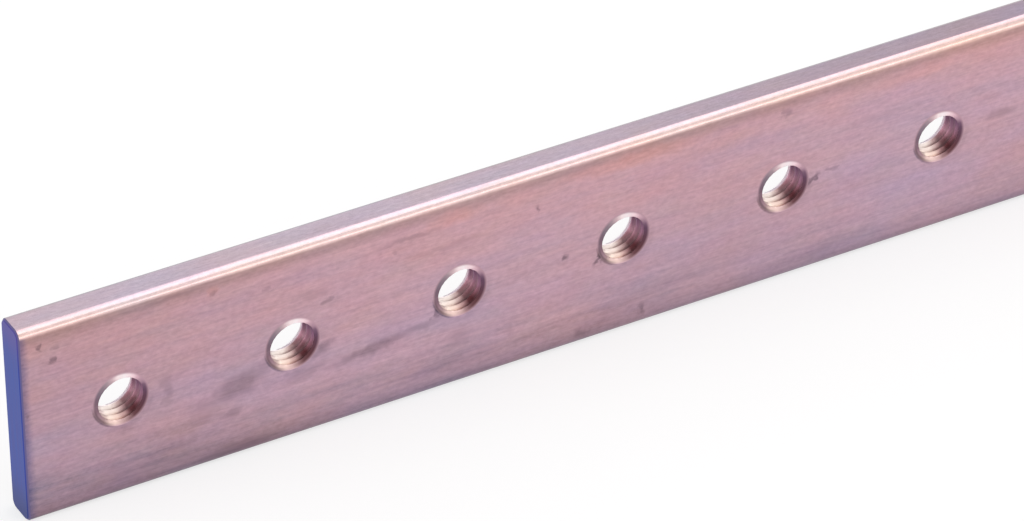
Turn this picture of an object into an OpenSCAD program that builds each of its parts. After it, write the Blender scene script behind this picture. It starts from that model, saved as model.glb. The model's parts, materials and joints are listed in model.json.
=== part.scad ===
// Earth terminal bar: a drawn flat copper strip with rounded long edges, sawn square at both
// ends, with a row of tapped and countersunk holes for terminal screws along its middle.
// Millimetres. X runs along the bar, Y from the front face to the back face, and Z is up.
// The origin is under the middle of the bar, on the long edge that it stands on.

/* [Strip] */
// Width of the strip, from the lower long edge to the upper one
strip_width = 30; // [20:1:60]
// Thickness of the strip, from the front face to the back face
strip_thickness = 5; // [4:0.5:10]
// Radius along the four long edges of the drawn strip
edge_radius = 1.2; // [0.5:0.1:1.8]
// Chamfer left by the file round each sawn end
end_break = 0.3; // [0.1:0.1:0.4]

/* [Terminal holes] */
// Number of tapped holes in the row
hole_count = 10; // [2:1:20]
// Distance between the centres of neighbouring holes
hole_pitch = 25; // [15:1:40]
// Distance from a sawn end to the centre of the hole nearest to it
end_margin = 14; // [8:1:25]
// Drill diameter before tapping, so the bore inside the thread (6.7 to 6.9 for M8)
tapping_drill = 6.7; // [4.2:0.1:7.6]
// Diameter of each countersink where it meets the face
countersink_mouth = 8.1; // [7.8:0.1:10]
// Full angle of the countersinking tool
countersink_angle = 140; // [90:5:150]

/* [Hidden] */
hole_row = hole_pitch * (hole_count - 1);
bar_length = hole_row + 2 * end_margin;
strip_middle = strip_width / 2;
corner_y = strip_thickness / 2 - edge_radius;
corner_z = strip_width / 2 - edge_radius;
countersink_depth = (countersink_mouth - tapping_drill) / 2 / tan(countersink_angle / 2);
overcut = 0.5;
round_fn = 96;

// Section of the drawn strip: two crossed rectangles and a circle in each corner.
module strip_section() {
    square([2 * corner_z, strip_thickness], center = true);
    square([strip_width, 2 * corner_y], center = true);
    for (z = [-corner_z, corner_z], y = [-corner_y, corner_y])
        translate([z, y]) circle(r = edge_radius, $fn = round_fn);
}

// One filed end, end_break long: the same section, narrowing at 45 degrees all the way round.
module filed_end() {
    for (z = [-corner_z, corner_z], y = [-corner_y, corner_y])
        translate([z, y, 0])
            cylinder(r1 = edge_radius, r2 = edge_radius - end_break, h = end_break, $fn = round_fn);
    narrowing_block(strip_thickness / 2, 2 * corner_z);
    rotate([0, 0, 90]) narrowing_block(strip_width / 2, 2 * corner_y);
}

// Block as wide as span along X, whose half height in Y shrinks by end_break over its length.
module narrowing_block(half, span) {
    rotate([90, 0, 90]) linear_extrude(span, center = true)
        polygon([[-half, 0], [half, 0], [half - end_break, end_break], [end_break - half, end_break]]);
}

// The whole strip, standing on its lower long edge.
module strip() {
    straight = bar_length - 2 * end_break;
    translate([0, 0, strip_middle]) rotate([0, 90, 0]) {
        linear_extrude(straight, center = true) strip_section();
        for (side = [0, 1])
            mirror([0, 0, side]) translate([0, 0, straight / 2]) filed_end();
    }
}

// Everything that drill and countersink take out at one hole, through the strip along Y.
module terminal_hole() {
    mouth_over = countersink_mouth / 2 + overcut * tan(countersink_angle / 2);
    rotate([90, 0, 0]) {
        cylinder(d = tapping_drill, h = strip_thickness + 2 * overcut, center = true, $fn = round_fn);
        for (side = [0, 1])
            mirror([0, 0, side])
                translate([0, 0, strip_thickness / 2 - countersink_depth])
                    cylinder(r1 = tapping_drill / 2, r2 = mouth_over, h = countersink_depth + overcut,
                             $fn = round_fn);
    }
}

module bar() {
    color([0.76, 0.62, 0.64])
        difference() {
            strip();
            for (i = [0 : hole_count - 1])
                translate([i * hole_pitch - hole_row / 2, 0, strip_middle]) terminal_hole();
        }
}

bar();
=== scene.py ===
import json
import math

import bmesh
import bpy
import numpy as np
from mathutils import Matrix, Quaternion, Vector


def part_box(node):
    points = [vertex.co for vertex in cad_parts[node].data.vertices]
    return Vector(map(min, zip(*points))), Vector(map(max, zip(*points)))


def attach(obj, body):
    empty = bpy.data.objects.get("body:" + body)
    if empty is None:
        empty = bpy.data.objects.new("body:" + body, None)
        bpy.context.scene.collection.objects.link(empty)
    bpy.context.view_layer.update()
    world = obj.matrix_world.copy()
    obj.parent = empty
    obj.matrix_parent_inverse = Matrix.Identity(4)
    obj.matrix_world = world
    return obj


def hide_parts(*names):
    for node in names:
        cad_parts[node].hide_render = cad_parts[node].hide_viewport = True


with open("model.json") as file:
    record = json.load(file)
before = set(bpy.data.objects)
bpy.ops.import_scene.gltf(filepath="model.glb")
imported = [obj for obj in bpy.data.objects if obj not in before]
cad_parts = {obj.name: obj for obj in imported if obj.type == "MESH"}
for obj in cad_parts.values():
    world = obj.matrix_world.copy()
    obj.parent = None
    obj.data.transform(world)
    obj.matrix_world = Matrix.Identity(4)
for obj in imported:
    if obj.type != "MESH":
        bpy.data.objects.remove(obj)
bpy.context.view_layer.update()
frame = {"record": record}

mm = 0.001
barLow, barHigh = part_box("bar")
midX, midY, midZ = (barLow + barHigh) / 2
halfLength, halfThick, halfWidth = (barHigh - barLow) / 2
print("frame loaded, bar in mm:", [round(v / mm, 2) for v in barHigh - barLow])


strip = {
    "edgeRadius": 1.2 * mm,  # along the four long edges
    "endBreak": 0.3 * mm,    # filed chamfer round each sawn end
    "arcSteps": 10,
    "flatSteps": 4,
    "panelRings": 6,
    "capRings": 4,
    "capSpine": 0.93,        # length of the line on which a cap closes, as a share of the flat face's
    "sharpAngle": math.radians(18),
    "weld": 0.001 * mm,
}
thread = {
    "pitch": 1.25 * mm,
    "rootRadius": 4.0 * mm,
    "mouthRadius": 4.05 * mm,
    "startAngle": math.radians(-45),          # where the crest meets the back face
    "crestShare": 0.2,                        # of the pitch, flat at the bore's own radius
    "rootShare": 0.1,
    "frontSlope": math.tan(math.radians(70)),  # how fast the countersink narrows with depth
    "backSlope": 1.0,                         # and at the back, where the last turn runs out
    "burrAngle": math.radians(120),           # where the tap's burr at the front is tallest
    "burrRise": 0.43 * mm,
    "burrSlope": 9.0,                         # of the countersink where the burr fills it
    "runIn": (0.3 * mm, 0.7 * mm),            # depths between which the groove deepens
    "turnSteps": 72,
    "rows": 22,
}
finishes = ("drawnCopper", "cutCopper", "sawnEnd", "farEnd")

tappedHoles = [m for m in frame["record"]["mounts"] if m["kind"] == "threaded_hole"]
boreRadius = tappedHoles[0]["dims"]["r_mm"] * mm
holeX = sorted(m["pos_m"][0] for m in tappedHoles)
holePitch = holeX[1] - holeX[0]
cornerY = halfThick - strip["edgeRadius"]
cornerZ = halfWidth - strip["edgeRadius"]
panelEnd = halfLength - strip["endBreak"]
panelBorders = [midX - panelEnd] + [(a + b) / 2 for a, b in zip(holeX, holeX[1:])] + [midX + panelEnd]
panels = list(zip(holeX, panelBorders, panelBorders[1:]))  # each hole, and its panel's two borders
# where evenly turned rays from the middle of a square meet one of its sides: tangents
raySpread = np.tan(np.linspace(-math.pi / 4, math.pi / 4, thread["turnSteps"] // 4 + 1))


# Quads between neighbouring points of a grid; closed joins its last column to its first.
def gridQuads(rows, columns, closed):
    index = np.arange(rows * columns).reshape(rows, columns)
    if closed:
        index = np.concatenate([index, index[:, :1]], axis=1)
    corners = (index[:-1, :-1], index[:-1, 1:], index[1:, 1:], index[1:, :-1])
    return np.stack(corners, axis=-1).reshape(-1, 4)


# A flat panel round one hole: each ray runs straight from the mouth's circle to the panel's
# border, which is a square hit by the same ray and stretched to the panel's reach each way.
def facePanel(centreX, left, right, faceY):
    turn = np.arange(thread["turnSteps"]) * (2 * math.pi / thread["turnSteps"])
    circle = np.stack([np.cos(turn), np.sin(turn)])
    square = circle / abs(circle).max(axis=0)
    reach = np.stack([np.where(square[0] > 0, right - centreX, centreX - left), 0 * turn + cornerZ])
    share = np.linspace(0, 1, strip["panelRings"] + 1)[:, None, None]
    flat = circle * thread["mouthRadius"] * (1 - share) + square * reach * share
    return np.stack([centreX + flat[:, 0], 0 * flat[:, 0] + faceY, midZ + flat[:, 1]], axis=-1)


# Radius inside the thread: flat crest, straight flank, flat root and flank again in each pitch.
def threadRadius(phase):
    fromCrest = abs((phase + 0.5) % 1.0 - 0.5)
    flankStart = thread["crestShare"] / 2
    flankEnd = 0.5 - thread["rootShare"] / 2
    climb = np.clip((fromCrest - flankStart) / (flankEnd - flankStart), 0, 1)
    return boreRadius + (thread["rootRadius"] - boreRadius) * climb


# The wall of one hole: the thread's profile carried along a right-handed helix. What would run
# past a face is held at the face, and near a face the countersink's cone takes over. At the
# front the groove deepens bit by bit, and a burr fills the cone and leans over the bore.
def holeWall(centreX):
    pitch = thread["pitch"]
    count = round(thread["turnSteps"] * (2 * halfThick / pitch + 1)) + 1
    turns = np.arange(count)[:, None] / thread["turnSteps"]
    phase = np.linspace(0, 1, thread["rows"] + 1)[None, :]
    depth = np.clip(halfThick + pitch * (phase - turns), -halfThick, halfThick)
    angle = 2 * math.pi * turns + thread["startAngle"]
    start, end = thread["runIn"]
    filled = np.clip((end - halfThick - depth) / (end - start), 0, 1)
    burr = (0.5 + 0.5 * np.cos(angle - thread["burrAngle"])) ** 3
    radius = threadRadius(phase) * (1 - filled) + (boreRadius - thread["burrRise"] * burr) * filled
    frontSlope = thread["frontSlope"] * (1 - burr) + thread["burrSlope"] * burr
    slope = np.where(depth < 0, frontSlope, thread["backSlope"])
    radius = np.maximum(radius, thread["mouthRadius"] - (halfThick - abs(depth)) * slope)
    return np.stack([centreX + radius * np.cos(angle), midY + depth, midZ + radius * np.sin(angle)], axis=-1)


# The strip's section as a closed loop in Y and Z, drawn in by inset all round: two straight
# sides with the panels' own stations, and between them an arc, a narrow flat and an arc.
def sectionLoop(inset):
    arc = np.linspace(0, math.pi / 2, strip["arcSteps"] + 1)
    radius = strip["edgeRadius"] - inset
    side = raySpread[:-1] * cornerZ
    flat = np.linspace(-1, 1, strip["flatSteps"] + 1)[1:-1] * cornerY
    frontSide = np.stack([0 * side + inset - halfThick, side], axis=-1)
    topArc = np.stack([-cornerY - radius * np.cos(arc), cornerZ + radius * np.sin(arc)], axis=-1)
    topFlat = np.stack([flat, 0 * flat + halfWidth - inset], axis=-1)
    backArc = (topArc * (-1, 1))[:0:-1]
    half = np.concatenate([frontSide, topArc, topFlat, backArc])
    return np.concatenate([half, -half])


# A loop of the section, stood across the bar at one place along it.
def acrossBar(loop, x):
    return np.stack([0 * loop[:, 0] + x, midY + loop[:, 0], midZ + loop[:, 1]], axis=-1)


# One end: the section, its filed chamfer, and a cap that closes on a line down the middle.
def barEnd(side):
    inner = sectionLoop(strip["endBreak"])
    spine = np.stack([0 * inner[:, 0], np.clip(inner[:, 1], -cornerZ, cornerZ) * strip["capSpine"]], axis=-1)
    rings = [acrossBar(sectionLoop(0), midX + side * panelEnd)]
    for share in np.linspace(0, 1, strip["capRings"] + 1):
        rings.append(acrossBar(inner * (1 - share) + spine * share, midX + side * halfLength))
    return np.array(rings)


# A long edge: its two arcs and the flat between them, carried along all the panels' stations.
def longEdge(side):
    first = len(raySpread) - 1
    loop = sectionLoop(0)[first:first + 2 * strip["arcSteps"] + strip["flatSteps"] + 1] * side
    stations = []
    for x, left, right in panels:
        stations.append(x + raySpread * np.where(raySpread < 0, x - left, right - x))
    along = np.unique(np.round(np.concatenate(stations), 9))  # shared borders differ in the last digit
    return np.array([acrossBar(loop, x) for x in along])


# Joins grids into one mesh object, each with its finish, and welds the seams between them.
def weldedBar(grids):
    points, quads, slots = [], [], []
    for grid, finish, closed in grids:
        faces = gridQuads(*grid.shape[:2], closed) + sum(len(p) for p in points)
        points.append(grid.reshape(-1, 3))
        quads.append(faces)
        slots.append(np.full(len(faces), finishes.index(finish)))
    mesh = bpy.data.meshes.new("earthBar")
    mesh.from_pydata(np.concatenate(points).tolist(), [], np.concatenate(quads).tolist())
    mesh.polygons.foreach_set("material_index", np.concatenate(slots))
    work = bmesh.new()
    work.from_mesh(mesh)
    bmesh.ops.remove_doubles(work, verts=work.verts, dist=strip["weld"])
    bmesh.ops.recalc_face_normals(work, faces=work.faces)
    openEdges = sum(1 for edge in work.edges if len(edge.link_faces) != 2)
    volume = work.calc_volume() / mm ** 3
    work.to_mesh(mesh)
    work.free()
    mesh.shade_smooth()
    mesh.set_sharp_from_angle(angle=strip["sharpAngle"])
    triangles = sum(len(p.vertices) - 2 for p in mesh.polygons)
    print("bar surfaced:", triangles, "triangles,", openEdges, "open edges,", round(volume), "mm3")
    return bpy.data.objects.new("earthBar", mesh)


grids = [(longEdge(1), "drawnCopper", False), (longEdge(-1), "drawnCopper", False)]
grids += [(barEnd(-1), "sawnEnd", True), (barEnd(1), "farEnd", True)]
for x, left, right in panels:
    grids.append((facePanel(x, left, right, midY - halfThick), "drawnCopper", True))
    grids.append((facePanel(x, left, right, midY + halfThick), "drawnCopper", True))
    grids.append((holeWall(x), "cutCopper", False))
bar = weldedBar(grids)
bpy.context.scene.collection.objects.link(bar)


# A socket in a node tree. Arithmetic on it adds Math nodes.
class Wire:
    def __init__(self, bench, socket):
        self.bench = bench
        self.socket = socket

    def math(self, operation, *others):
        values = dict(enumerate((self, *others)))
        return self.bench.add("ShaderNodeMath", {"operation": operation}, values)

    def __add__(self, other):
        return self.math("ADD", other)

    def __sub__(self, other):
        return self.math("SUBTRACT", other)

    def __mul__(self, other):
        return self.math("MULTIPLY", other)

    def __truediv__(self, other):
        return self.math("DIVIDE", other)

    def __neg__(self):
        return self.math("MULTIPLY", -1.0)

    def __rsub__(self, other):
        return -self + other

    __radd__ = __add__
    __rmul__ = __mul__

    def atLeast(self, other):
        return self.math("MAXIMUM", other)


# A node tree under construction. add() takes a node's type, its settings, and what its sockets get.
class Bench:
    def __init__(self, owner):
        owner.use_nodes = True
        self.owner = owner
        self.tree = owner.node_tree

    def add(self, kind, settings=None, sockets=None, output=0):
        node = self.tree.nodes.new(kind)
        for name, value in (settings or {}).items():
            if name == "stops":
                self.fillRamp(node.color_ramp.elements, value)
            else:
                setattr(node, name, value)
        for name, value in (sockets or {}).items():
            self.feed(node.inputs[name], value)
        return Wire(self, node.outputs[output])

    # A ramp starts with two elements: the first one goes, the other is moved to the first stop.
    def fillRamp(self, elements, stops):
        elements.remove(elements[0])
        elements[0].position = stops[0][0]
        for position, _ in stops[1:]:
            elements.new(position)
        for element, (_, colour) in zip(elements, stops):
            element.color = colour

    def feed(self, socket, value):
        if isinstance(value, Wire):
            self.tree.links.new(value.socket, socket)
        else:
            socket.default_value = value

    def vector(self, operation, *values):
        return self.add("ShaderNodeVectorMath", {"operation": operation}, dict(enumerate(values)))

    # One colour turning into another as the mask goes from 0 to 1.
    def blend(self, mask, first, second):
        return self.add("ShaderNodeMix", {"data_type": "RGBA"}, {0: mask, 6: first, 7: second}, 2)

    # A soft step from 0 to 1 as the value goes from low to high, which may be the smaller one.
    def step(self, value, low, high):
        settings = {"interpolation_type": "SMOOTHSTEP"}
        return self.add("ShaderNodeMapRange", settings, {"Value": value, "From Min": low, "From Max": high})

    # Noise between 0 and 1 with so many waves per millimetre in X, Y and Z: a value or a colour.
    def grain(self, place, waves, detail=3.0, roughness=0.5, output=0):
        stretched = self.vector("MULTIPLY", place, waves)
        sockets = {"Vector": stretched, "Scale": 1.0, "Detail": detail, "Roughness": roughness}
        return self.add("ShaderNodeTexNoise", {}, sockets, output)

    # Millimetres along the bar from its left end, from its middle plane, and up from its lower edge.
    def placeOnBar(self):
        place = self.add("ShaderNodeTexCoord", output="Object")
        corner = (-barLow.x / mm, -midY / mm, -barLow.z / mm)
        return self.vector("MULTIPLY_ADD", place, (1 / mm, 1 / mm, 1 / mm), corner)

    def axes(self, place):
        split = self.add("ShaderNodeSeparateXYZ", {}, {0: place})
        return [Wire(self, output) for output in split.socket.node.outputs]


# 8-bit screen colour to the linear colour that shaders take, by the sRGB curve.
def screen(red, green, blue):
    level = np.array([red, green, blue]) / 255
    linear = np.where(level <= 0.04045, level / 12.92, ((level + 0.055) / 1.055) ** 2.4)
    return (*linear.tolist(), 1.0)


# A new metal finish: its bench, and the sockets of its shader.
def metal(name):
    bench = Bench(bpy.data.materials.new(name))
    shader = bench.tree.nodes["Principled BSDF"]
    shader.inputs["Metallic"].default_value = 1.0
    return bench, shader.inputs


cut = {
    # share of a turn from the left, going down and round, and the colour there, with light and shade painted
    # in: bright where the light falls in, dark and violet on the side turned from it
    "rim": (
        (0.0, screen(136, 110, 122)), (0.04, screen(138, 108, 120)), (0.09, screen(164, 133, 143)),
        (0.125, screen(174, 144, 146)), (0.165, screen(230, 199, 192)), (0.205, screen(228, 198, 190)),
        (0.25, screen(194, 162, 160)), (0.29, screen(146, 114, 116)), (0.33, screen(106, 72, 76)),
        (0.38, screen(102, 65, 70)), (0.46, screen(106, 73, 88)), (0.51, screen(110, 80, 102)),
        (0.545, screen(132, 100, 122)), (0.585, screen(182, 146, 162)), (0.625, screen(226, 188, 199)),
        (0.665, screen(255, 228, 234)), (0.72, screen(255, 244, 246)), (0.76, screen(255, 238, 239)),
        (0.795, screen(222, 194, 199)), (0.835, screen(178, 156, 164)), (0.875, screen(152, 134, 144)),
        (0.92, screen(138, 121, 134)), (0.96, screen(132, 108, 122)), (1.0, screen(136, 110, 122)),
    ),
    "front": (
        (0.0, screen(255, 240, 236)), (0.12, screen(184, 160, 156)), (0.167, screen(198, 172, 167)),
        (0.195, screen(255, 232, 219)), (0.25, screen(246, 216, 204)), (0.285, screen(206, 168, 164)),
        (0.31, screen(160, 120, 122)), (0.335, screen(102, 60, 64)), (0.365, screen(98, 52, 57)),
        (0.39, screen(126, 80, 88)), (0.42, screen(160, 109, 123)), (0.47, screen(172, 126, 150)),
        (0.53, screen(146, 108, 136)), (0.62, screen(120, 88, 112)), (0.75, screen(150, 112, 130)),
        (1.0, screen(255, 240, 236)),
    ),
    "back": (
        (0.0, screen(255, 240, 236)), (0.12, screen(196, 180, 182)), (0.167, screen(222, 200, 200)),
        (0.195, screen(255, 242, 236)), (0.26, screen(255, 240, 232)), (0.31, screen(206, 176, 174)),
        (0.335, screen(154, 118, 122)), (0.36, screen(162, 121, 128)), (0.39, screen(182, 133, 145)),
        (0.42, screen(216, 166, 183)), (0.445, screen(194, 148, 166)), (0.475, screen(164, 124, 146)),
        (0.53, screen(144, 108, 136)), (0.62, screen(120, 88, 112)), (0.75, screen(150, 112, 130)),
        (1.0, screen(255, 240, 236)),
    ),
    # a painted highlight: the thread's last turn near white, as if lit from behind
    "lastTurn": screen(255, 246, 252),
    "lastTurnFrom": (1.2, 1.7),       # mm behind the middle plane
    "frontToBack": (-1.2, 0.9),       # mm from the middle plane, where one ramp gives way to the other
    "facing": screen(196, 160, 172),  # what the rim fades to, as on the face round it
    "fade": (3.64, 4.13),             # mm from the hole's axis, over which it does
    "fadeLean": 0.02,                 # and how much sooner, in each mm further up
    "backRim": (-0.03, -0.005),       # mm past the last turn's cone, where the rim takes over
    "frontRim": (-2.1, -2.25),        # and at the front, mm from the middle plane
    # painted shade in arcs round the rim: direction, cosine at its ends, mm from the axis, mm each way,
    # depth
    "rolls": ((218, 0.75, 3.99, 0.37, 0.5), (312, 0.2, 4.2, 0.9, 0.10)),
    "groove": (3.5, 3.9),             # mm from the axis, over which the thread's root is toned: painted shade on the bright side, painted light on the dark one
    "grooveGamma": (1.25, 0.6),       # its gamma on the bright side and on the dark one
    "grooveTurn": (0.26, 0.36),       # share of a turn, over which the gamma changes
    "patch": ((0.8, 0.8, 0.8), 3.0, 0.6),  # noise: waves per mm in X, Y and Z, detail, roughness
    "wobble": 0.05,                   # how far it shifts the colours round the hole, in turns
    "roughness": (0.32, 0.2),         # on the bright side, and what the dark one adds
    "roughTurn": (0.25, 0.4),         # share of a turn, over which it does
}


# Round the nearest hole: millimetres right of its axis, above it and away from it, and how much
# painted shade darkens the colour in arcs along the rim.
def aroundHole(bench, along, up):
    firstHole = (holeX[0] - barLow.x) / mm
    pitch = holePitch / mm
    right = (along - firstHole).math("WRAP", pitch / 2, -pitch / 2)
    above = up - halfWidth / mm
    distance = (right * right + above * above).math("SQRT")
    roll = 0.0
    for direction, least, radius, reach, depth in cut["rolls"]:
        angle = math.radians(direction)
        toward = (right * math.cos(angle) + above * math.sin(angle)) / distance
        offArc = (distance - radius) / reach
        roll = roll + bench.step(toward, least, 1.0) * bench.step(offArc * offArc, 1.0, 0.0) * depth
    return right, above, distance, roll


drawn = {
    # millimetres above the lower edge, and the colour there, with painted shade towards the lower edge, a
    # painted dark line under the upper rounded edge and two painted highlights on it
    "heights": (
        (0.0, screen(122, 106, 117)), (0.5, screen(147, 124, 138)), (1.7, screen(172, 143, 157)),
        (4.0, screen(188, 155, 167)), (7.5, screen(193, 158, 171)), (12.0, screen(193, 159, 173)),
        (20.6, screen(198, 161, 173)), (24.0, screen(199, 160, 171)), (27.0, screen(202, 160, 167)),
        (28.2, screen(180, 145, 148)), (28.8, screen(184, 150, 150)), (29.1, screen(228, 196, 193)),
        (29.5, screen(230, 200, 197)), (29.65, screen(214, 192, 192)), (29.85, screen(228, 191, 197)),
        (29.96, screen(218, 186, 197)), (29.99, screen(195, 177, 190)), (30.0, screen(195, 177, 190)),
    ),
    "shadedFlat": screen(168, 152, 169),   # the narrow flat, further along
    # painted shade along the back of the upper edge
    "backEdge": screen(172, 163, 172),
    # a burr by the left end, its violet a painted reflection of the blue light on that end
    "endBurr": screen(112, 102, 142),
    "endBurrShare": 0.8,
    "stain": screen(112, 92, 104),
    "glow": screen(208, 154, 152),
    # noises: waves per mm in X, Y and Z, detail, roughness
    "cloud": ((0.06, 0.2, 0.2), 4.0, 0.6),
    "tint": ((0.04, 0.12, 0.12), 4.0, 0.5),
    "streak": ((0.05, 1.0, 1.0), 5.0, 0.65),
    "fine": ((0.35, 3.5, 3.5), 2.0, 0.5),
    "speckle": ((1.1, 1.9, 1.9), 4.0, 0.7),
    "mottle": ((0.15, 0.35, 0.35), 4.0, 0.6),
    "ragged": ((0.7, 0.7, 0.7), 5.0, 0.5),
    # where a thing is not yet there, and where it fully is: mm up from the lower edge
    "faceUnder": (28.9, 28.6),
    "wanderUnder": (27.0, 22.0),  # the colours wander up and down on the face's middle
    "wanderOver": (0.5, 5.0),
    "edgeWanderUnder": (29.4, 28.6),
    "flatOver": (29.96, 29.99),
    "backEdgeOver": (28.8, 29.6),
    "endBurrUnder": (29.3, 28.7),
    "duskUnder": (9.0, 2.0),
    "rubbedOver": (28.85, 29.2),
    # the same, mm from the left end
    "furtherAlong": (50.0, 150.0),  # the narrow flat's shaded colour
    "endBurrAlong": (1.7, 0.0),
    "dimAlong": (60.0, 0.0),
    "duskAlong": (115.0, 30.0),
    # the same, mm from the middle plane
    "backEdgeThrough": (1.35, 1.7),
    "frontThrough": (-1.6, -2.2),
    # how far the noises carry things, in mm
    "cloudWander": 9,
    "streakWander": 5,
    "edgeWander": 0.5,
    "endBurrWander": 0.6,
    "dimWander": 30,
    "duskWander": 40,
    "raggedness": (4.0, 0, 1.4),
    # how much they and the two shades change the colour's brightness
    "streakTone": 0.30,
    "fineTone": 0.24,
    "speckleTone": 0.46,
    "dimTone": 0.11,
    "duskTone": 0.15,
    # and its hue, towards red where they're high; and the mottling of red, green and blue apart
    "tintHue": 0.34,
    "streakHue": 0.04,
    "duskHue": 0.05,
    "mottleDepth": (0.12, 0.08, 0.12),
    "stainSpeckle": (1.3, 0.05),  # a stain's strength: speckle times the first, less the second
    "roughness": 0.34,
    "streakRoughness": 0.12,
    "stainRoughness": 0.12,
    "rubbedRoughness": 0.08,      # less on the upper rounded edge, which holds the painted highlights
    "streakDepth": 0.010,         # mm, of the drawing lines
    "streakRelief": 2,            # their share of the relief, against 1 for the fine noise's
    "reliefStrength": 0.5,
    # along, up, half length, half height, slope in degrees, strength
    "stains": (
        (31.0, 11.2, 5.6, 2.6, 14, 0.7), (32.0, 11.0, 1.6, 1.0, 20, 0.45), (30.0, 7.2, 1.8, 1.2, 20, 0.5),
        (26.0, 8.8, 3.6, 2.6, 40, 0.3), (35.0, 13.2, 3.0, 1.6, 30, 0.4), (43.6, 12.9, 2.6, 1.3, 30, 0.7),
        (41.0, 9.8, 4.0, 1.4, 10, 0.3), (51.0, 10.2, 8.5, 1.1, 7, 0.75), (57.5, 11.2, 5.0, 0.9, 5, 0.45),
        (60.4, 12.7, 0.9, 1.5, -20, 1.1), (64.0, 7.6, 3.0, 2.2, 0, 0.25), (30.0, 1.4, 9.0, 1.4, 0, 0.65),
        (17.0, 3.0, 12.0, 3.0, 0, 0.2), (71.5, 5.8, 1.2, 2.0, 0, 0.2), (82.6, 1.9, 1.8, 1.3, 0, 0.7),
        (91.5, 2.4, 0.9, 1.8, -15, 0.8), (80.0, 15.0, 0.8, 0.7, 0, 1.1), (118.4, 14.5, 1.9, 0.6, 42, 1.0),
        (122.0, 15.3, 1.5, 0.5, 0, 0.5), (149.0, 15.6, 4.0, 1.0, 0, 0.45), (2.9, 26.8, 0.8, 0.8, 20, 1.0),
        (4.4, 24.4, 0.7, 0.6, 0, 0.9), (0.9, 17.0, 0.5, 0.5, 0, 0.6), (5.4, 26.0, 0.9, 0.5, 0, 0.4),
        (75.7, 24.2, 0.7, 0.8, 0, 0.9), (56.5, 25.8, 6.0, 0.6, 2, 0.5), (62.0, 22.6, 8.0, 0.7, 1, 0.3),
        (20.6, 14.2, 1.4, 3.6, 0, 0.4), (114.2, 26.6, 1.3, 1.0, 30, 0.5), (36.0, 25.0, 0.6, 0.5, 0, 0.4),
        (85.4, 13.0, 0.7, 1.6, -25, 1.1), (14.5, 10.2, 1.2, 1.0, 0, 0.3), (27.8, 27.0, 0.8, 0.6, 0, 0.6),
        (22.0, 28.2, 6.0, 0.5, 0, 0.35), (129.0, 21.5, 9.0, 1.0, 0, 0.15), (100.0, 4.8, 12.0, 2.0, 0, 0.1),
        (44.5, 20.0, 0.8, 0.6, 0, 0.5), (54.6, 24.2, 1.0, 0.6, 0, 0.4), (42.0, 21.8, 4.0, 1.0, -10, 0.25),
    ),
    "glowing": (
        (63.5, 27.0, 5.5, 1.8, 0, 0.6), (90.0, 27.0, 15.0, 1.6, 0, 0.5), (105.0, 25.4, 7.0, 2.0, 0, 0.35),
        (27.8, 27.3, 1.6, 1.0, 0, 0.45), (134.0, 26.5, 10.0, 1.6, 0, 0.3), (96.0, 21.0, 9.0, 3.0, 0, 0.2),
    ),
}


# How far inside any of the listed spots a place is, from 0 to the spot's strength.
def spotMask(bench, place, spots):
    mask = 0.0
    for x, z, halfSpan, halfRise, slope, strength in spots:
        around = {"Vector": place, "Location": (x, 0, z), "Scale": (halfSpan, 1000, halfRise)}
        around["Rotation"] = (0, -math.radians(slope), 0)
        spot = bench.add("ShaderNodeMapping", {"vector_type": "TEXTURE"}, around)
        ball = bench.add("ShaderNodeTexGradient", {"gradient_type": "SPHERICAL"}, {"Vector": spot})
        mask = (bench.step(ball, 0.0, 0.8) * strength).atLeast(mask)
    return mask
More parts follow.
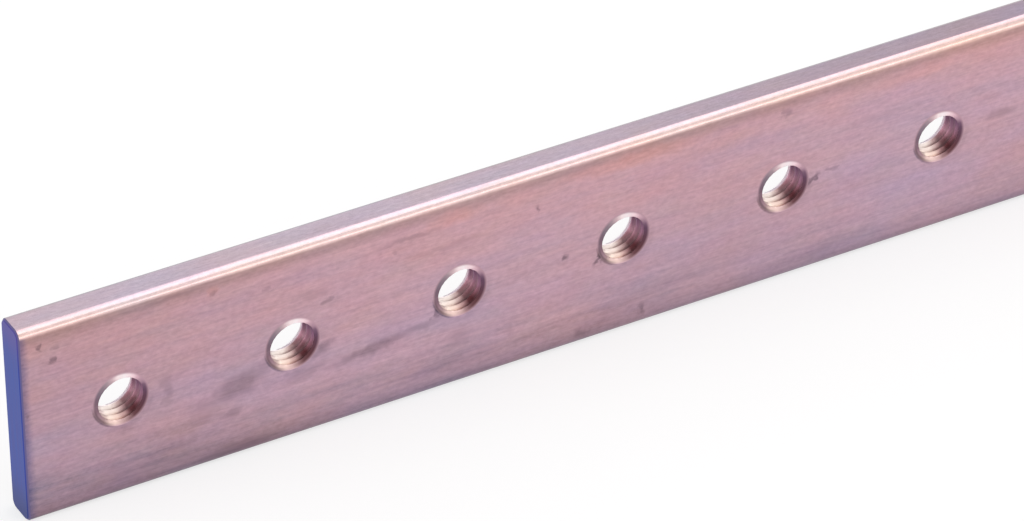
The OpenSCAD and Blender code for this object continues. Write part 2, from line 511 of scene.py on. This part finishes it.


# The drawn faces and long edges: the colour follows the height, with painted highlights and shade in it,
# then come painted shade, spots and noises.
def drawnCopper():
    bench, sockets = metal("drawnCopper")
    place = bench.placeOnBar()
    along, through, up = bench.axes(place)
    cloud, tint, streak, fine, speckle = (bench.grain(place, *drawn[name]) for name in
                                          ("cloud", "tint", "streak", "fine", "speckle"))
    mottle, ragged = (bench.grain(place, *drawn[name], output="Color") for name in ("mottle", "ragged"))

    fullHeight = 2 * halfWidth / mm
    stops = [(height / fullHeight, colour) for height, colour in drawn["heights"]]
    wander = bench.step(up, *drawn["wanderUnder"]) * bench.step(up, *drawn["wanderOver"])
    wander = wander * ((cloud - 0.5) * drawn["cloudWander"] + (streak - 0.5) * drawn["streakWander"])
    edgeWander = (streak - 0.5) * drawn["edgeWander"] * bench.step(up, *drawn["edgeWanderUnder"])
    height = (up + wander + edgeWander) / fullHeight
    colour = bench.add("ShaderNodeValToRGB", {"stops": stops}, {"Fac": height})
    flat = bench.step(up, *drawn["flatOver"]) * bench.step(along, *drawn["furtherAlong"])
    colour = bench.blend(flat, colour, drawn["shadedFlat"])
    # painted shade along the back of the upper edge
    back = bench.step(through, *drawn["backEdgeThrough"]) * bench.step(up, *drawn["backEdgeOver"])
    colour = bench.blend(back, colour, drawn["backEdge"])
    # the burr by the left end, violet as a painted reflection of the blue light on that end
    burr = bench.step(along + (speckle - 0.5) * drawn["endBurrWander"], *drawn["endBurrAlong"])
    burr = burr * bench.step(up, *drawn["endBurrUnder"])
    colour = bench.blend(burr * drawn["endBurrShare"], colour, drawn["endBurr"])

    shift = bench.vector("SUBTRACT", ragged, (0.5, 0.5, 0.5))
    nudged = bench.vector("MULTIPLY_ADD", shift, drawn["raggedness"], place)
    front = bench.step(through, *drawn["frontThrough"])
    most, least = drawn["stainSpeckle"]
    stain = spotMask(bench, nudged, drawn["stains"]) * front * (most * speckle - least)
    colour = bench.blend(spotMask(bench, nudged, drawn["glowing"]) * front, colour, drawn["glow"])
    colour = bench.blend(stain, colour, drawn["stain"])

    # painted shade: darker towards the left end, and darker and bluer towards the lower edge on the left
    dim = bench.step(along + (cloud - 0.5) * drawn["dimWander"], *drawn["dimAlong"])
    dim = dim * drawn["dimTone"] * bench.step(up, *drawn["faceUnder"])
    dusk = bench.step(along + (cloud - 0.5) * drawn["duskWander"], *drawn["duskAlong"])
    dusk = bench.step(up + wander, *drawn["duskUnder"]) * dusk
    # painted shade in arcs round each hole's rim
    roll = aroundHole(bench, along, up)[3]
    tone = 1 - roll - dim - dusk * drawn["duskTone"]
    tone = tone + (streak - 0.5) * drawn["streakTone"] + (fine - 0.5) * drawn["fineTone"]
    tone = tone + (speckle - 0.5) * drawn["speckleTone"]
    hue = (tint - 0.5) * drawn["tintHue"] + (streak - 0.5) * drawn["streakHue"] - dusk * drawn["duskHue"]
    depths = drawn["mottleDepth"]
    channels = [level - depth / 2 for level, depth in zip((tone + hue, tone, tone - hue), depths)]
    shade = bench.add("ShaderNodeCombineXYZ", {}, dict(enumerate(channels)))
    shade = bench.vector("MULTIPLY_ADD", mottle, depths, shade)
    bench.feed(sockets["Base Color"], bench.vector("MULTIPLY", colour, shade))

    # the upper rounded edge, which holds the painted highlights: smoother there
    highlightedEdge = bench.step(up, *drawn["rubbedOver"])
    roughness = drawn["roughness"] + (streak - 0.5) * drawn["streakRoughness"]
    roughness = roughness + stain * drawn["stainRoughness"] - highlightedEdge * drawn["rubbedRoughness"]
    bench.feed(sockets["Roughness"], roughness)
    relief = {"Strength": drawn["reliefStrength"], "Distance": drawn["streakDepth"] * mm}
    relief["Height"] = fine + streak * drawn["streakRelief"]
    bench.feed(sockets["Normal"], bench.add("ShaderNodeBump", {}, relief))
    return bench.owner


# The holes' metal, with light and shade painted into its colour round each hole: a painted highlight where
# the light falls in, painted shade and a violet painted reflection on the side turned from it.
def cutCopper():
    bench, sockets = metal("cutCopper")
    place = bench.placeOnBar()
    along, through, up = bench.axes(place)
    right, above, distance, roll = aroundHole(bench, along, up)
    patch = bench.grain(place, *cut["patch"])
    turned = 0.5 + above.math("ARCTAN2", right) / (2 * math.pi)
    share = turned + (patch - 0.5) * cut["wobble"]
    # the rim's and the wall's colours round the hole, with painted highlights, painted shade and a violet
    # painted reflection
    front, back, rim = (bench.add("ShaderNodeValToRGB", {"stops": cut[name]}, {"Fac": share})
                        for name in ("front", "back", "rim"))
    wall = bench.blend(bench.step(through + (patch - 0.5), *cut["frontToBack"]), front, back)
    # the thread's roots: painted shade on the bright side, painted light on the dark one
    brightGamma, darkGamma = cut["grooveGamma"]
    bend = brightGamma - 1 + bench.step(share, *cut["grooveTurn"]) * (darkGamma - brightGamma)
    gamma = 1 + bench.step(distance, *cut["groove"]) * bend
    wall = bench.add("ShaderNodeGamma", {}, {"Color": wall, "Gamma": gamma})
    # painted highlight on the thread's last turn, near white as if lit from behind
    wall = bench.blend(bench.step(through, *cut["lastTurnFrom"]), wall, cut["lastTurn"])
    rim = bench.blend(bench.step(distance + above * cut["fadeLean"], *cut["fade"]), rim, cut["facing"])
    # painted shade in arcs round the rim
    rim = bench.add("ShaderNodeVectorMath", {"operation": "SCALE"}, {0: rim, "Scale": 1 - roll})
    backCone = halfThick / mm - (thread["mouthRadius"] / mm - distance) / thread["backSlope"]
    onRim = bench.step(through - backCone, *cut["backRim"]).atLeast(bench.step(through, *cut["frontRim"]))
    bench.feed(sockets["Base Color"], bench.blend(onRim, wall, rim))
    smoothest, rougher = cut["roughness"]
    bench.feed(sockets["Roughness"], smoothest + rougher * bench.step(share, *cut["roughTurn"]))
    return bench.owner


sawing = {
    "marks": ((1.0, 3.5, 0.12), 3.0),  # noise: waves per mm in X, Y and Z, detail
    "contrast": (0.35, 0.65),
    "lowUnder": (7.0, 0.5),            # mm up from the lower edge, where the lower end's tone sets in
    "highOver": (24.0, 30.0),          # and the upper end's
    "sawnFrom": (panelEnd / mm + 0.1, halfLength / mm - 0.01),  # mm from the bar's middle, over the chamfer
    "roughness": 0.42,
}
# the near end's tones: a painted reflection of blue light from the left, violet towards the top, darker
# towards the bottom, violet on the filed chamfer
nearEndBlueReflection = {
    "first": screen(45, 75, 164), "second": screen(58, 71, 156), "low": screen(48, 62, 132),
    "high": screen(84, 74, 156), "filed": screen(108, 101, 143),
}
farEnd = {
    "first": screen(206, 158, 146), "second": screen(186, 140, 136), "low": screen(176, 134, 130),
    "high": screen(206, 158, 146), "filed": screen(200, 162, 160),
}


# A sawn end: two tones in the saw's marks, others towards its two ends, and the filed chamfer's. On the near
# end all of them are a painted reflection of blue light from the left.
def sawnEnd(name, tones):
    bench, sockets = metal(name)
    place = bench.placeOnBar()
    along, _, up = bench.axes(place)
    marks = bench.grain(place, *sawing["marks"])
    colour = bench.blend(bench.step(marks, *sawing["contrast"]), tones["first"], tones["second"])
    colour = bench.blend(bench.step(up, *sawing["lowUnder"]), colour, tones["low"])
    colour = bench.blend(bench.step(up, *sawing["highOver"]), colour, tones["high"])
    fromMiddle = (along - halfLength / mm).math("ABSOLUTE")
    sawn = bench.step(fromMiddle, *sawing["sawnFrom"])
    bench.feed(sockets["Base Color"], bench.blend(sawn, tones["filed"], colour))
    sockets["Roughness"].default_value = sawing["roughness"]
    return bench.owner


bar.data.materials.append(drawnCopper())
bar.data.materials.append(cutCopper())
bar.data.materials.append(sawnEnd("sawnEnd", nearEndBlueReflection))
bar.data.materials.append(sawnEnd("farEnd", farEnd))
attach(bar, "root")
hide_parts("bar")
print("finishes set:", [m.name for m in bar.data.materials])


studio = {
    "floorReach": 8.0,   # metres, each way
    "floorTone": 0.85,   # what the floor throws back on the bar
    "shownTone": 0.38,   # the floor's own tone where the camera or the metal sees it
    "shownGlow": 0.66,   # and the white that is added there
    "ambient": 0.85,
    # name: place, target, width and height in metres, watts
    "lamps": {
        "overheadSoftbox": ((0.35, -0.10, 1.0), (0, 0, 0), 1.2, 0.45, 1.6),
        "frontCard": ((0.45, -1.15, 0.22), (0, 0, 0.02), 1.6, 0.30, 1.5),
    },
}


# 1 for rays from the camera, a gloss or a glass, and 0 for light that falls on things.
def seenDirectly(bench):
    ray = bench.add("ShaderNodeLightPath", output="Is Camera Ray")
    outputs = ray.socket.node.outputs
    seen = ray.atLeast(Wire(bench, outputs["Is Glossy Ray"]))
    return seen.atLeast(Wire(bench, outputs["Is Transmission Ray"]))


# Plain white paint for the light that it sends on to the bar, and a paler look where it's seen.
def paleFloor():
    bench = Bench(bpy.data.materials.new("paleFloor"))
    bench.tree.nodes.remove(bench.tree.nodes["Principled BSDF"])
    tone, shown, glow = (studio[k] for k in ("floorTone", "shownTone", "shownGlow"))
    lit = bench.add("ShaderNodeBsdfDiffuse", {}, {"Color": (tone, tone, tone, 1)})
    paint = bench.add("ShaderNodeBsdfDiffuse", {}, {"Color": (shown, shown, shown, 1)})
    white = bench.add("ShaderNodeEmission", {}, {"Color": (1, 1, 1, 1), "Strength": glow})
    visible = bench.add("ShaderNodeAddShader", {}, {0: paint, 1: white})
    whole = bench.add("ShaderNodeMixShader", {}, {0: seenDirectly(bench), 1: lit, 2: visible})
    bench.feed(bench.tree.nodes["Material Output"].inputs["Surface"], whole)
    return bench.owner


# A soft even light from all round, and full white where it's seen.
def paleSurroundings():
    bench = Bench(bpy.data.worlds.new("paleSurroundings"))
    bench.tree.nodes.remove(bench.tree.nodes["Background"])
    soft = bench.add("ShaderNodeBackground", {}, {"Color": (1, 1, 1, 1), "Strength": studio["ambient"]})
    white = bench.add("ShaderNodeBackground", {}, {"Color": (1, 1, 1, 1), "Strength": 1.0})
    whole = bench.add("ShaderNodeMixShader", {}, {0: seenDirectly(bench), 1: soft, 2: white})
    bench.feed(bench.tree.nodes["World Output"].inputs["Surface"], whole)
    return bench.owner


# A rectangular lamp that faces its target and isn't seen itself.
def softLamp(name, place, target, width, height, watts):
    data = bpy.data.lights.new(name, "AREA")
    data.shape = "RECTANGLE"
    data.size = width
    data.size_y = height
    data.energy = watts
    lamp = bpy.data.objects.new(name, data)
    lamp.location = place
    lamp.rotation_mode = "QUATERNION"
    lamp.rotation_quaternion = (Vector(target) - Vector(place)).to_track_quat("-Z", "Y")
    lamp.visible_camera = False
    bpy.context.scene.collection.objects.link(lamp)


reach = studio["floorReach"]
floorMesh = bpy.data.meshes.new("floor")
floorCorners = [(-reach, -reach, 0), (reach, -reach, 0), (reach, reach, 0), (-reach, reach, 0)]
floorMesh.from_pydata(floorCorners, [], [(0, 1, 2, 3)])
floorMesh.materials.append(paleFloor())
floor = bpy.data.objects.new("floor", floorMesh)
bpy.context.scene.collection.objects.link(floor)
bpy.context.scene.world = paleSurroundings()
for name, values in studio["lamps"].items():
    softLamp(name, *values)
print("studio lit by", len(studio["lamps"]), "soft lamps")


viewpoint = {
    "azimuth": -28.83,   # degrees from straight in front, towards the left end
    "elevation": 34.3,
    "roll": -0.52,
    "distance": 0.8254,  # metres from the target
    "lens": 218.5,       # mm
    "target": (-54.6 * mm, -2.5 * mm, 17.08 * mm),
    "nearest": 0.01,
}
turn = math.radians(viewpoint["azimuth"])
tilt = math.radians(viewpoint["elevation"])
back = Vector((math.sin(turn) * math.cos(tilt), -math.cos(turn) * math.cos(tilt), math.sin(tilt)))
lens = bpy.data.cameras.new("camera")
lens.lens = viewpoint["lens"]
lens.clip_start = viewpoint["nearest"]
camera = bpy.data.objects.new("camera", lens)
camera.location = Vector(viewpoint["target"]) + back * viewpoint["distance"]
camera.rotation_mode = "QUATERNION"
level = (-back).to_track_quat("-Z", "Y")
camera.rotation_quaternion = level @ Quaternion((0, 0, 1), math.radians(viewpoint["roll"]))
bpy.context.scene.collection.objects.link(camera)
bpy.context.scene.camera = camera
bpy.context.scene.view_settings.view_transform = "Standard"
print("camera placed at", [round(v, 3) for v in camera.location])
